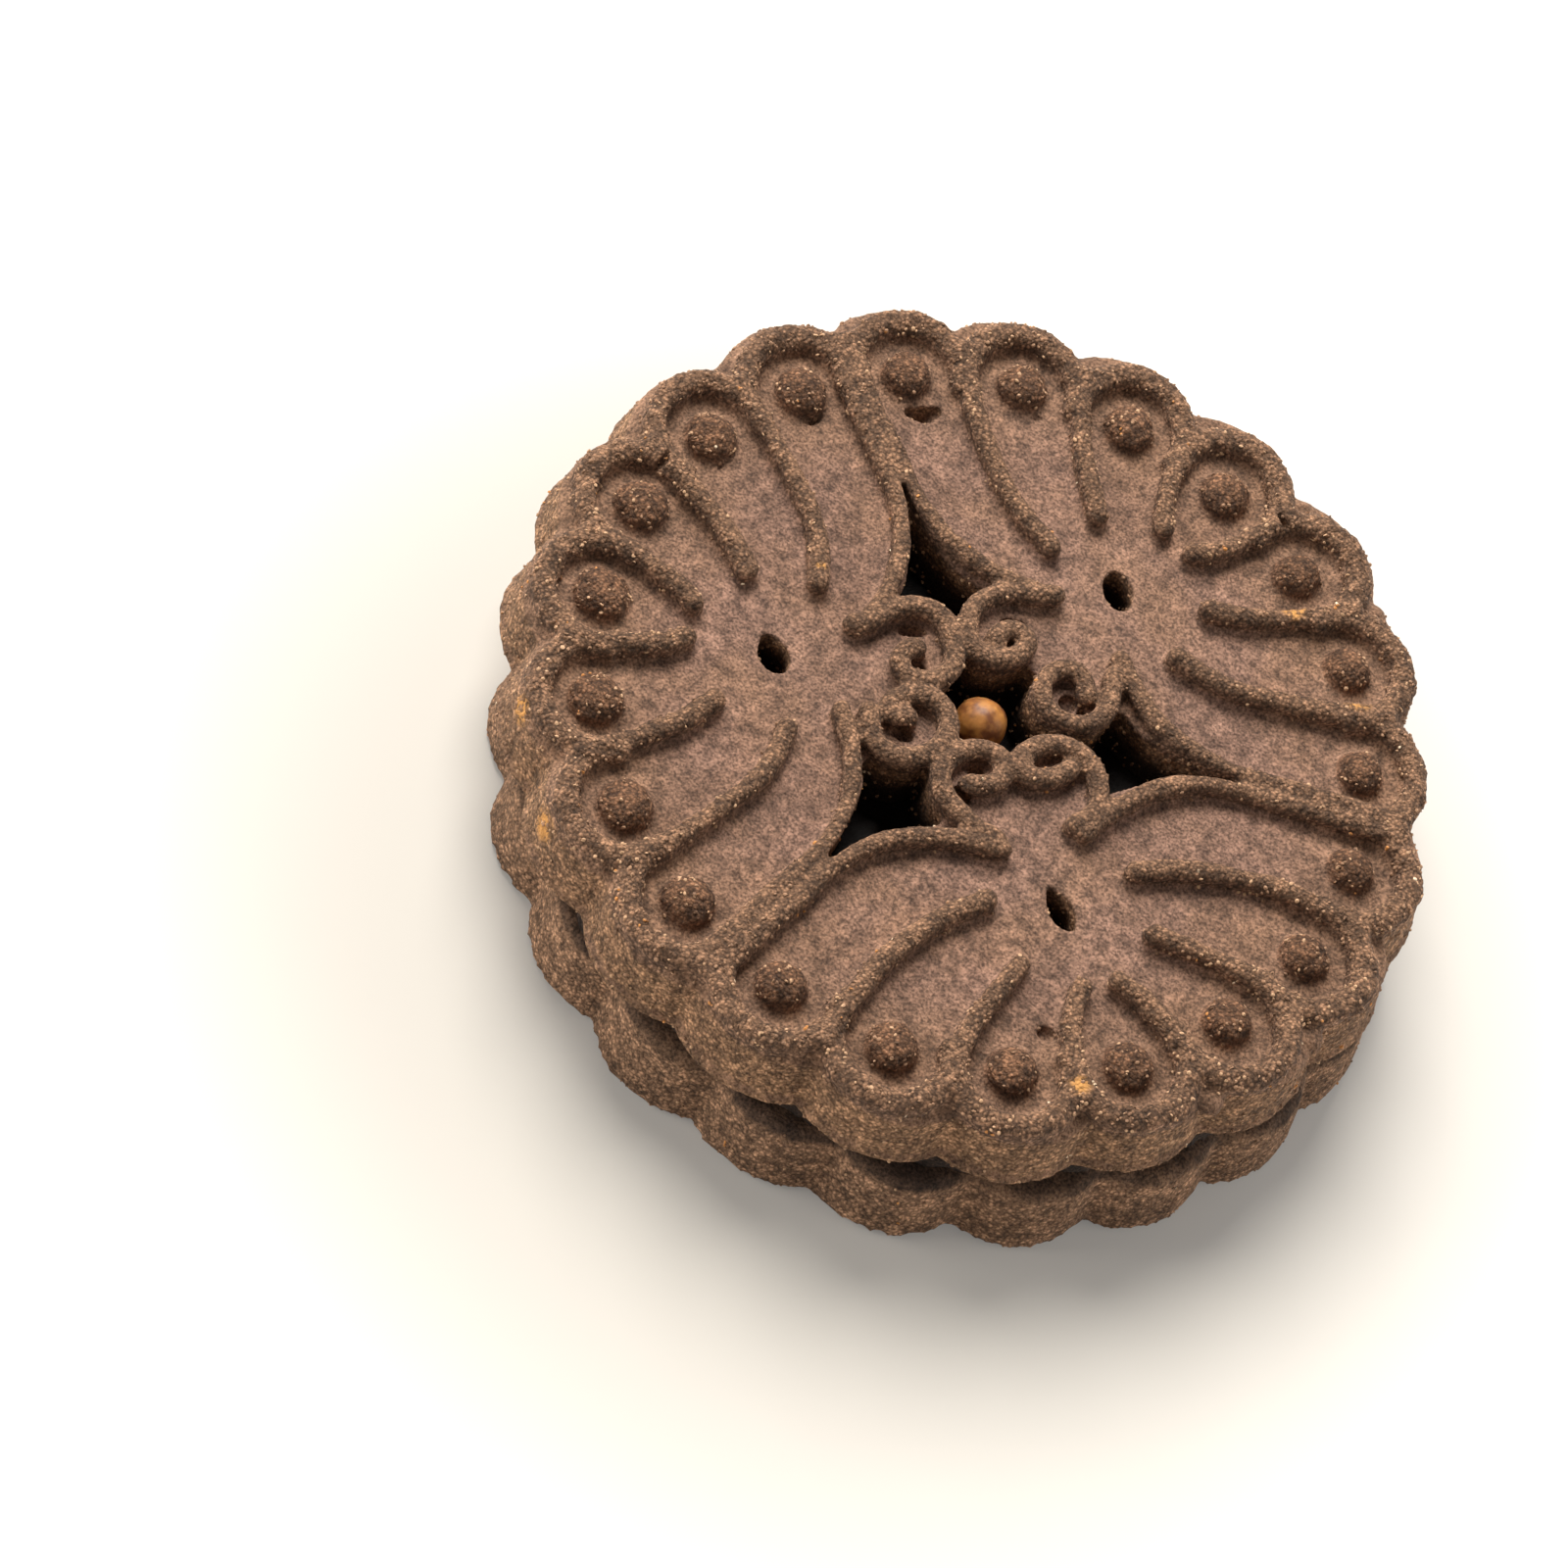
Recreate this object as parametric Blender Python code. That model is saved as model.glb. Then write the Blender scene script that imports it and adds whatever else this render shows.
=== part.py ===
# Round chocolate sandwich biscuit, lying flat: two moulded cocoa biscuits with a
# scalloped rim, dark cream between them, and a small pearl in the middle hole.
# Metres, +Z up, underside at z = 0, one of the three fans points along +Y.
import math
import random

import bmesh
import bpy
from mathutils import Matrix, Vector

MM = 0.001                    # sizes below are millimetres

# plan of the moulding
FANS = 3                      # palmette fans round the biscuit
CELLS = 7                     # scallops, and beads, in a fan
SCALLOPS = FANS * CELLS
TIP = 30.3                    # axis to scallop tip, at the upper biscuit's base
SCALLOP_DEPTH = 1.35          # tip to the notch between two scallops
RIM_TURN = -1.0               # degrees, the cut rim against the moulding
ARC_STEPS = 6                 # flats in one scallop

# heights
BOTTOM_THICK = 5.2
CREAM_GAP = 1.6               # between the two biscuits
CLEARANCE = 0.3               # kept between neighbouring solids
TOP_BASE = BOTTOM_THICK + CREAM_GAP
PLATEAU = TOP_BASE + 4.3      # sunk ground of the ornament
RELIEF = 1.15                 # ridges and beads stand this much above it
ROOT = 0.5                    # how far a ridge reaches into the ground

# ornament
BEAD_RING = 24.7
BEAD_RADIUS = 1.85
ARCH_RADIUS = 3.7             # raised arch round each bead
ARCH_WIDTH = 1.7
RIDGE_WIDTH = 1.45
RIDGE_START = 27.0            # where the ridges leave the rim
# inner end of a ridge (radius, degrees off the fan's axis) and the radius where it bends
RIDGES = ((19.5, 3.7, 21.8), (17.6, 15.3, 22.5), (13.5, 22.2, 18.0))
SEAM_OFFSET = 0.78            # outline ridge to the seam between two fans
SEAM_END = 17.6               # radius where the outline ridge leaves the seam
HOOK = (2.85, 9.4)            # inner end of the outline ridge
VOLUTE_RING = 5.64            # six volutes round the middle hole
VOLUTE_RADIUS = 2.2
VOLUTE_WIDTH = 1.4
VOLUTE_CORE = 0.8

# holes
MIDDLE_HOLE = 2.6
DOCKER_RING = 13.7
DOCKER_RADIUS = 0.9
OPENING_TIP = 14.4            # curved triangle between two fans
OPENING_CORNER = (2.95, 8.7)
OPENING_ARC = 3.7             # its inner side follows the volutes

# the two biscuits were put together slightly out of line
MOULD_CENTRE = (-0.25, -0.15)
RIM_CENTRE = (-0.45, 0.15)
LOWER_TIP = 29.85
LOWER_CENTRE = (1.0, -0.6)
LOWER_TURN = -5.3

# filling and pearl
CREAM_RADIUS = 27.8
CREAM_WAVES = 0.45
PEARL_RADIUS = 1.45
PEARL_Z = 9.45


def material(name, colour, roughness):
    mat = bpy.data.materials.new(name)
    mat.use_nodes = True
    shader = mat.node_tree.nodes["Principled BSDF"]
    shader.inputs["Base Color"].default_value = (*colour, 1.0)
    shader.inputs["Roughness"].default_value = roughness
    shader.inputs["Metallic"].default_value = 0.0
    return mat


def solid(name, verts, faces, mat=None):
    """A closed mesh object from points in millimetres."""
    bm = bmesh.new()
    points = [bm.verts.new(Vector(v) * MM) for v in verts]
    for face in faces:
        bm.faces.new([points[i] for i in face])
    bmesh.ops.recalc_face_normals(bm, faces=bm.faces)
    mesh = bpy.data.meshes.new(name)
    bm.to_mesh(mesh)
    bm.free()
    if mat:
        mesh.materials.append(mat)
    obj = bpy.data.objects.new(name, mesh)
    bpy.context.scene.collection.objects.link(obj)
    return obj


def loft(rings):
    """Points and faces through equal closed rings, with a flat cap at both ends."""
    count = len(rings[0])
    verts = [p for ring in rings for p in ring]
    faces = [tuple(reversed(range(count)))]
    for row in range(len(rings) - 1):
        for i in range(count):
            j = (i + 1) % count
            a, b = row * count, (row + 1) * count
            faces.append((a + i, a + j, b + j, b + i))
    faces.append(tuple(range((len(rings) - 1) * count, len(rings) * count)))
    return verts, faces


def polar(radius, degrees):
    """Point at an angle measured from the fan's axis, +Y."""
    angle = math.radians(degrees)
    return Vector((radius * math.sin(angle), radius * math.cos(angle)))


def turn(point, degrees):
    return Matrix.Rotation(math.radians(degrees), 2) @ Vector(point)


def bezier(start, bend, end, steps):
    start, bend, end = Vector(start), Vector(bend), Vector(end)
    points = []
    for i in range(steps + 1):
        t = i / steps
        points.append(start * (1 - t) ** 2 + bend * 2 * t * (1 - t) + end * t * t)
    return points


def scalloped(tip, depth, z, centre, turned):
    """Closed outline of round scallops: one arc from notch to notch, repeated."""
    notch = tip - depth
    half = math.pi / SCALLOPS
    ring = (tip ** 2 - notch ** 2) / (2 * (tip - notch * math.cos(half)))
    arc = tip - ring
    points = []
    for i in range(SCALLOPS * ARC_STEPS):
        off = (i % ARC_STEPS) / ARC_STEPS * 2 * half - half
        reach = ring * math.cos(off) + math.sqrt(arc ** 2 - (ring * math.sin(off)) ** 2)
        x, y = polar(reach, 360 * (i / ARC_STEPS - 0.5) / SCALLOPS + turned)
        points.append((x + centre[0], y + centre[1], z))
    return points


def ridge(name, path, width, height, ground, round_start=False):
    """Raised bar with a rounded back along a flat path, rounded off at its end."""
    steps = [(p, 1.0) for p in path]
    tail = (path[-1] - path[-2]).normalized()
    steps += [(path[-1] + tail * width * 0.32, 0.78), (path[-1] + tail * width * 0.48, 0.36)]
    if round_start:
        head = (path[0] - path[1]).normalized()
        steps = [(path[0] + head * width * 0.45, 0.45)] + steps
    rings = []
    for i, (point, scale) in enumerate(steps):
        before, after = steps[max(i - 1, 0)][0], steps[min(i + 1, len(steps) - 1)][0]
        along = (after - before).normalized()
        across = Vector((-along.y, along.x)) * width * 0.5 * scale
        lift = height * (0.35 + 0.65 * scale)
        ring = []
        for side, up in ((-1.08, -ROOT), (1.08, -ROOT), (0.68, 0.76), (0, 1), (-0.68, 0.76)):
            z = up if up < 0 else up * lift
            ring.append((*(point + across * side), ground + z))
        rings.append(ring)
    return solid(name, *loft(rings))


def dome(name, centre, radius, height, base, sides=12, root=ROOT):
    """Low button with a flattened crown."""
    rings = []
    for share, up in ((1.0, -root), (1.0, 0.12), (0.82, 0.74), (0.45, 1.0)):
        z = up if up < 0 else up * height
        rings.append([(centre[0] + radius * share * math.cos(2 * math.pi * i / sides),
                       centre[1] + radius * share * math.sin(2 * math.pi * i / sides),
                       base + z) for i in range(sides)])
    return solid(name, *loft(rings))


def prism(name, outline, low, high):
    return solid(name, *loft([[(*p, z) for p in outline] for z in (low, high)]))


def moved(path, side, fan, shift):
    """A path of one fan's right half, mirrored by side and turned to its fan."""
    return [turn((p[0] * side, p[1]), fan * 360 / FANS) + Vector(shift) for p in path]


def volute_path():
    """Spiral from the hook, round its centre and in to the core."""
    centre = polar(VOLUTE_RING, 30)
    path = []
    turns = ((84, 1.85), (66, 1.5), (48, 1.25), (30, 1.1), (8, 1.03), (-16, 1.0), (-40, 1.0),
             (-64, 1.0), (-90, 0.99), (-115, 0.98), (-140, 0.96), (-165, 0.93), (-190, 0.9),
             (-215, 0.84), (-240, 0.72), (-262, 0.55), (-284, 0.36))
    for degrees, share in turns:
        angle = math.radians(degrees)
        out = Vector((math.cos(angle), math.sin(angle)))
        path.append(centre + out * VOLUTE_RADIUS * share)
    return path


def ornament():
    """Every raised piece of the upper biscuit, as separate solids that overlap its plate."""
    pieces = []
    spacing = 360 / SCALLOPS
    for fan in range(FANS):
        for cell in range(CELLS):
            degrees = (cell - (CELLS - 1) / 2) * spacing
            seat = polar(BEAD_RING, degrees)
            spot = moved([seat], 1, fan, MOULD_CENTRE)[0]
            pieces.append(dome(f"bead_{fan}_{cell}", spot, BEAD_RADIUS, RELIEF, PLATEAU))
            arch = [seat + polar(ARCH_RADIUS, degrees + a) for a in range(-105, 106, 30)]
            arch = moved(arch, 1, fan, MOULD_CENTRE)
            pieces.append(ridge(f"arch_{fan}_{cell}", arch, ARCH_WIDTH, RELIEF * 0.96, PLATEAU))
        for side in (-1, 1):
            for pair, (inner, degrees, bend) in enumerate(RIDGES):
                cusp = spacing * (pair + 0.5)
                path = bezier(polar(RIDGE_START, cusp), polar(bend, cusp),
                              polar(inner, degrees), 5 + pair)
                path = moved(path, side, fan, MOULD_CENTRE)
                pieces.append(ridge(f"ridge_{fan}_{pair}_{side}", path, RIDGE_WIDTH,
                                    RELIEF * 1.02, PLATEAU))
            inward = polar(1, 60 + 90) * -1
            seam = [polar(r, 60) - inward * -SEAM_OFFSET for r in (RIDGE_START + 0.8, 22.5)]
            leave = polar(SEAM_END, 60) + inward * SEAM_OFFSET
            bend = polar(SEAM_END * 0.63, 60) + inward * 0.1
            path = seam + bezier(leave, bend, HOOK, 8)
            path = moved(path, side, fan, MOULD_CENTRE)
            pieces.append(ridge(f"outline_{fan}_{side}", path, RIDGE_WIDTH, RELIEF, PLATEAU))
            path = moved(volute_path(), side, fan, MOULD_CENTRE)
            pieces.append(ridge(f"volute_{fan}_{side}", path, VOLUTE_WIDTH, RELIEF * 0.98,
                                PLATEAU, True))
            core = moved([polar(VOLUTE_RING, 30)], side, fan, MOULD_CENTRE)[0]
            pieces.append(dome(f"core_{fan}_{side}", core, VOLUTE_CORE, RELIEF * 0.9, PLATEAU, 8))
    return pieces


def opening_outline():
    """Curved triangle between two fans, in the frame where the seam is +Y."""
    tip = Vector((0, OPENING_TIP))
    corner = Vector(OPENING_CORNER)
    half = bezier(tip, (corner.x * 0.58, corner.y * 1.17), corner, 5)
    centre = polar(VOLUTE_RING, 30)
    for degrees in (98, 112, 126):
        angle = math.radians(degrees)
        half.append(centre + Vector((math.cos(angle), math.sin(angle))) * OPENING_ARC)
    notch = centre.y + math.sqrt(OPENING_ARC ** 2 - centre.x ** 2)
    other = [Vector((-p.x, p.y)) for p in reversed(half[1:])]
    return half + [Vector((0, notch))] + other


def cutters(low, high, shift):
    tools = []
    for fan in range(FANS):
        outline = [turn(p, fan * 360 / FANS + 60) + Vector(shift) for p in opening_outline()]
        tools.append(prism(f"cut_opening_{fan}", outline, low, high))
        tools.append(docker(fan, low, high, shift))
    ring = [Vector(shift) + polar(MIDDLE_HOLE, i * 15) for i in range(24)]
    tools.append(prism("cut_middle", ring, low, high))
    return tools


def docker(fan, low, high, shift):
    """Drop-shaped hole on the fan's axis, its point towards the middle."""
    outline = []
    for i in range(10):
        angle = 2 * math.pi * i / 10
        x, y = DOCKER_RADIUS * math.sin(angle), DOCKER_RADIUS * math.cos(angle)
        outline.append((x, DOCKER_RING + (y * 1.35 if y < 0 else y)))
    outline = [turn(p, fan * 360 / FANS) + Vector(shift) for p in outline]
    return prism(f"cut_docker_{fan}_{low:.0f}", outline, low, high)


def combine(target, tools, operation):
    """One Boolean over a collection, applied, and the tools taken away again."""
    group = bpy.data.collections.new(target.name + "_" + operation.lower())
    bpy.context.scene.collection.children.link(group)
    for tool in tools:
        bpy.context.scene.collection.objects.unlink(tool)
        group.objects.link(tool)
    mod = target.modifiers.new("combine", "BOOLEAN")
    mod.operation = operation
    mod.solver = "EXACT"
    mod.operand_type = "COLLECTION"
    mod.collection = group
    bpy.context.view_layer.objects.active = target
    bpy.ops.object.modifier_apply(modifier=mod.name)
    for tool in list(group.objects):
        bpy.data.objects.remove(tool)
    bpy.data.collections.remove(group)


def clean(obj):
    bm = bmesh.new()
    bm.from_mesh(obj.data)
    bmesh.ops.dissolve_limit(bm, angle_limit=math.radians(1), verts=bm.verts, edges=bm.edges)
    bmesh.ops.triangulate(bm, faces=bm.faces)
    bm.to_mesh(obj.data)
    bm.free()


def top_biscuit(mat):
    wall = ((0, 0, TOP_BASE), (0, 0, TOP_BASE + 0.35), (0.35, 0.1, TOP_BASE + 0.75),
            (0.6, 0.25, PLATEAU - 0.8), (0.95, 0.3, PLATEAU))
    rings = [scalloped(TIP - back, SCALLOP_DEPTH + cut, z, RIM_CENTRE, RIM_TURN)
             for back, cut, z in wall]
    plate = solid("top_biscuit", *loft(rings), mat)
    combine(plate, ornament(), "UNION")
    combine(plate, cutters(TOP_BASE - 2, PLATEAU + 4, MOULD_CENTRE), "DIFFERENCE")
    clean(plate)
    return plate


def bottom_biscuit(mat):
    wall = ((0.4, 0), (0, 0.5), (0.05, 2.2), (0.3, BOTTOM_THICK - 0.9), (0.95, BOTTOM_THICK))
    rings = [scalloped(LOWER_TIP - back, SCALLOP_DEPTH, z, LOWER_CENTRE, LOWER_TURN)
             for back, z in wall]
    plate = solid("bottom_biscuit", *loft(rings), mat)
    combine(plate, [docker(fan, -2, 2.4, LOWER_CENTRE) for fan in range(FANS)], "DIFFERENCE")
    return plate


def cream_filling(mat):
    """Uneven pressed disc with a low mound that carries the pearl."""
    rng = random.Random(4)
    waves = [(k, rng.uniform(0, 6.28), rng.uniform(0.3, 1.0)) for k in (3, 5, 8, 13)]
    low, high = BOTTOM_THICK + CLEARANCE, TOP_BASE - CLEARANCE
    mound = PEARL_Z - PEARL_RADIUS - CLEARANCE
    sides = 72
    rings = []
    for base, z, wavy in ((CREAM_RADIUS - 0.5, low, 1), (CREAM_RADIUS, (low + high) / 2, 1),
                          (CREAM_RADIUS - 0.6, high, 1), (2.1, high, 0), (1.7, mound - 0.2, 0),
                          (1.0, mound, 0)):
        ring = []
        for i in range(sides):
            angle = 2 * math.pi * i / sides
            swell = sum(a * math.sin(k * angle + p) for k, p, a in waves) * CREAM_WAVES * wavy
            ring.append(((base + swell) * math.cos(angle), (base + swell) * math.sin(angle), z))
        rings.append(ring)
    return solid("cream_filling", *loft(rings), mat)


def pearl(mat):
    bm = bmesh.new()
    bmesh.ops.create_uvsphere(bm, u_segments=16, v_segments=10, radius=PEARL_RADIUS * MM)
    mesh = bpy.data.meshes.new("sugar_pearl")
    bm.to_mesh(mesh)
    bm.free()
    mesh.materials.append(mat)
    obj = bpy.data.objects.new("sugar_pearl", mesh)
    obj.location = Vector((*MOULD_CENTRE, PEARL_Z)) * MM
    bpy.context.scene.collection.objects.link(obj)
    return obj


def main():
    for obj in list(bpy.data.objects):
        bpy.data.objects.remove(obj)
    cocoa = material("cocoa_biscuit", (0.26, 0.15, 0.09), 0.9)
    darker = material("cocoa_biscuit_lower", (0.2, 0.115, 0.07), 0.92)
    cream = material("cocoa_cream", (0.05, 0.026, 0.018), 0.7)
    caramel = material("caramel_pearl", (0.48, 0.2, 0.06), 0.45)
    bottom_biscuit(darker)
    cream_filling(cream)
    top_biscuit(cocoa)
    pearl(caramel)
    bpy.context.view_layer.update()


main()
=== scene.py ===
import math
import random

import bpy
from mathutils import Matrix, Vector


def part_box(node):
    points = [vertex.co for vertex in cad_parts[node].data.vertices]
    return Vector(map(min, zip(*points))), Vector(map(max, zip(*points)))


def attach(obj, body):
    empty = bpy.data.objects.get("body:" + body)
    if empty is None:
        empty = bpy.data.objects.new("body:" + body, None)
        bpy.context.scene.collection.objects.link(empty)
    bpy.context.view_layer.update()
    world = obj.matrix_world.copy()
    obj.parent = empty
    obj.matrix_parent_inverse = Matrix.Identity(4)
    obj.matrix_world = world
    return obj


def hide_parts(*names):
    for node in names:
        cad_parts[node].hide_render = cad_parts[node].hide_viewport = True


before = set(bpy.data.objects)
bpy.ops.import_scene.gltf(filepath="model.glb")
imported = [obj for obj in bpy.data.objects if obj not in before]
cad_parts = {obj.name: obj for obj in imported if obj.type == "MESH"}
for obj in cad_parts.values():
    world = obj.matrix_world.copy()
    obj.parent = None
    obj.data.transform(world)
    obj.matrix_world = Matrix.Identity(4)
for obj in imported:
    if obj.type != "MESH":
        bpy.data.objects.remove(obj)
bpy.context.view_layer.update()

# everything is modelled in millimetres and shrunk to metres when it is done
mm = 0.001
topLow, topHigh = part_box("top_biscuit")
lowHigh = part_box("bottom_biscuit")[1]
pearlLow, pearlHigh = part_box("sugar_pearl")
topBase = topLow[2] / mm
topPeak = topHigh[2] / mm

mould = {
    "fans": 3,
    "cells": 7,                  # scallops and beads in one fan
    "centre": (-0.25, -0.15),
    "relief": 1.45,              # ridges above the sunk ground
    "beadRing": 24.7,
    "beadRadii": (1.6, 1.5, 1.5, 1.52, 1.5, 1.52, 1.55, 1.58, 1.6, 1.62, 1.6, 1.65, 1.72, 1.7, 1.75, 1.72, 1.7,
                  1.68, 1.62, 1.62, 1.58),
    "archRadius": 3.72,
    "archWidth": 1.75,
    "ridgeWidth": 1.42,
    "ridgeStart": 27.0,
    "ridgeEnds": ((19.5, 3.7, 21.8), (17.6, 15.3, 22.5), (13.5, 22.2, 18.0)),
    "seamOffset": 0.58,
    "seamEnd": 17.6,
    "hook": (2.85, 9.4),
    "dockerRing": 13.7,
    "coreRadius": 25.2,          # plain middle that the scallops stand on
    "rimRing": 29.2,             # where the rim's own pushes take hold
    "pullWidth": 3.4,            # how wide a pull spreads
    "pullReach": 9,
    "beadShade": 2.2,            # radius by which a bead's darker bake has faded out
}
# the six scrolls round the middle hole, each pressed a little differently: tail first, then round to the core
scrolls = (
    {"width": 1.42, "loop": (3, 11), "path": (
        (-9.67, -2.11), (-9.02, -1.14), (-8.77, 0.03), (-8.43, 1.08), (-7.77, 1.96), (-6.88, 2.47), (-5.84, 2.5),
        (-4.92, 2.07), (-4.11, 1.4), (-3.52, 0.48), (-3.39, -0.66), (-3.87, -1.64), (-4.79, -2.29), (-5.7, -2.08),
        (-6.17, -1.23), (-5.9, -0.38))},
    {"width": 1.45, "loop": (0, 10), "path": (
        (-4.86, -6.08), (-4.1, -6.88), (-3.15, -7.44), (-2.05, -7.31), (-1.01, -6.53), (-0.45, -5.26),
        (-0.45, -3.9), (-1.04, -2.8), (-2.13, -2.27), (-3.32, -2.6), (-4.18, -3.6), (-4.35, -4.75),
        (-3.7, -5.15), (-3.08, -4.53))},
    {"width": 1.4, "loop": (1, 11), "path": (
        (6.11, -6.9), (4.94, -7.22), (3.5, -7.23), (2.1, -6.98), (1.11, -6.27), (0.65, -5.14), (0.86, -3.74),
        (1.52, -2.77), (2.4, -2.38), (3.31, -2.69), (3.67, -3.53), (3.31, -4.56), (2.57, -5.31))},
    {"width": 1.5, "loop": (0, 10), "path": (
        (8.91, -2.27), (9.19, -1.12), (8.78, 0.28), (7.83, 1.27), (6.62, 1.87), (5.3, 1.7), (4.16, 0.81),
        (3.64, -0.53), (3.88, -1.62), (4.61, -1.92), (5.41, -1.42), (5.94, -0.59), (6.22, 0.36))},
    {"width": 1.4, "loop": (1, 11), "path": (
        (-2.4, 9.51), (-3.41, 8.43), (-4.47, 7.4), (-5.16, 6.04), (-5.18, 4.47), (-4.57, 3.23), (-3.63, 2.5),
        (-2.6, 2.52), (-1.67, 3.29), (-1.15, 4.44), (-1.4, 5.45), (-2.18, 5.61), (-2.9, 4.88), (-2.86, 3.94))},
    {"width": 1.38, "loop": (0, 10), "path": (
        (3.83, 7.88), (4.59, 6.73), (5.13, 5.54), (4.99, 4.1), (3.98, 3.03), (2.7, 2.71), (1.61, 3.26),
        (1.06, 4.23), (1.16, 5.31), (1.79, 6.15), (2.74, 6.18), (3.58, 5.45))},
)
# small dark pits pressed into the scrolls: place, half sizes, turn
pits = (
    (-6.9, 0.9, 1.0, 0.42, 40), (-2.6, -5.2, 0.75, 0.5, 20), (2.5, -6.0, 0.8, 0.5, 30), (2.2, -3.8, 0.55, 0.42, 40),
    (6.1, 0.75, 0.9, 0.4, 40), (-3.0, 6.3, 0.95, 0.42, 40), (3.0, 4.5, 0.55, 0.65, 40), (4.2, 4.5, 0.3, 0.5, 40),
    (16.6, -14.3, 0.75, 0.6, 35),
)
# curved nicks under some beads and cracks in the rim: ring, angle, length across, width, depth
nicks = (
    (21.9, -50.1, 2.3, 1.2, 1.4), (22.6, -69.2, 2.1, 0.5, 0.7), (22.9, -31, 1.8, 0.4, 0.5),
    (22.8, -87.5, 2.0, 0.4, 0.55), (25.9, 9.6, 2.1, 0.42, 0.9), (25.3, -96, 1.9, 0.6, 0.9),
)
# how far the pressing sits off its even place, at each bead and at the inner end of each ridge
beadPulls = (
    (0.27, -0.22), (-0.16, -0.29), (-0.22, 0.16), (-0.38, -0.23), (-0.3, 0.07), (-0.35, 0.02), (-0.39, 0.17),
    (0.05, -0.05), (-0.05, 0.05), (0.09, -0.11), (-0.09, 0.11), (-0.26, 0.12), (0, 0), (0.01, -0.2),
    (-0.17, 0.01), (0.01, -0.3), (0.1, -0.31), (0.02, -0.5), (-0.07, -0.4), (0.17, 0), (0.26, -0.12),
)
rimPush = (0.45, 0.7, -0.1, -0.8, -0.15, 0.1, 0.05, -0.1, 0, 0.1, -0.05, 0.1, 0, -0.1, 0.05, 0.15, 0.1, 0.2,
           0.1, 0.15, 0.3)
endPulls = (
    ((0.41, -0.47), (0.61, -0.14), (0.36, -0.32), (0.45, -0.53), (0.83, -0.3), (0.27, -0.32)),
    ((-0.18, 0.11), (0.05, -0.05), (0.43, 0.07), (0.05, -0.05), (0.13, 0.04), (0.17, -0.01)),
    ((0.22, -0.16), (0.34, 0.08), (0.51, 0.17), (0.62, -0.44), (0.41, 0.47), (0.87, -0.35)),
)
plateau = topPeak - mould["relief"]        # the sunk ground between the ridges
spacing = 360 / (mould["fans"] * mould["cells"])


# small tools

def clearPick():
    if bpy.context.object and bpy.context.object.mode != "OBJECT":
        bpy.ops.object.mode_set(mode="OBJECT")
    bpy.ops.object.select_all(action="DESELECT")


def pick(*objects):
    clearPick()
    for one in objects:
        one.select_set(True)
    bpy.context.view_layer.objects.active = objects[0]


def settle(obj):
    pick(obj)
    bpy.ops.object.transform_apply(location=True, rotation=True, scale=True)
    return obj


def joined(name, objects):
    pick(*objects)
    bpy.ops.object.join()
    bpy.context.object.name = name
    return bpy.context.object


def copyOf(obj):
    pick(obj)
    bpy.ops.object.duplicate()
    return bpy.context.object


def worked(obj, kind, **settings):
    mod = obj.modifiers.new(kind.lower(), kind)
    for key, value in settings.items():
        setattr(mod, key, value)
    pick(obj)
    bpy.ops.object.modifier_apply(modifier=mod.name)
    return obj


def cutBy(obj, tool):
    worked(obj, "BOOLEAN", operation="DIFFERENCE", solver="EXACT", object=tool)
    bpy.data.objects.remove(tool)
    return obj


def outward(obj):
    pick(obj)
    bpy.ops.object.mode_set(mode="EDIT")
    bpy.ops.mesh.select_all(action="SELECT")
    bpy.ops.mesh.normals_make_consistent(inside=False)
    bpy.ops.object.mode_set(mode="OBJECT")
    return obj


def polar(radius, degrees):        # measured from +Y, clockwise
    angle = math.radians(degrees)
    return Vector((radius * math.sin(angle), radius * math.cos(angle)))


def arcPath(start, bend, end, steps):
    start, bend, end = Vector(start), Vector(bend), Vector(end)
    spots = []
    for i in range(steps + 1):
        t = i / steps
        spots.append(start * (1 - t) ** 2 + bend * 2 * t * (1 - t) + end * t * t)
    return spots


def rope(spots, width, z, swell=None):
    # a round bar of dough along a flat path, swell thickens or thins it
    bpy.ops.curve.primitive_bezier_curve_add()
    line = bpy.context.object
    spline = line.data.splines[0]
    spline.bezier_points.add(len(spots) - 2)
    for i, knot in enumerate(spline.bezier_points):
        knot.co = (spots[i][0], spots[i][1], z)
        knot.radius = swell[i] if swell else 1
    for knot in spline.bezier_points:
        knot.handle_left_type = knot.handle_right_type = "AUTO"
    line.data.resolution_u = 5
    line.data.bevel_depth = width / 2
    line.data.bevel_resolution = 3
    line.data.use_fill_caps = True
    pick(line)
    bpy.ops.object.convert(target="MESH")
    return bpy.context.object


def ball(spot, radius, z, height=None):
    bpy.ops.mesh.primitive_uv_sphere_add(segments=20, ring_count=12, radius=1,
                                         location=(spot[0], spot[1], z))
    one = bpy.context.object
    one.scale = (radius, radius, height or radius)
    return settle(one)


def cloud(name, size, kind):
    texture = bpy.data.textures.new(name, kind)
    texture.noise_scale = size
    if kind == "CLOUDS":
        texture.noise_depth = 3
    return texture


def toMetres(obj):
    obj.scale = (mm, mm, mm)
    return settle(obj)


def smooth(obj):
    pick(obj)
    bpy.ops.object.shade_smooth()


def dress(obj, mat):
    obj.data.materials.clear()
    obj.data.materials.append(mat)


# the moulded ornament, half a fan first, then mirrored and turned

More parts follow.
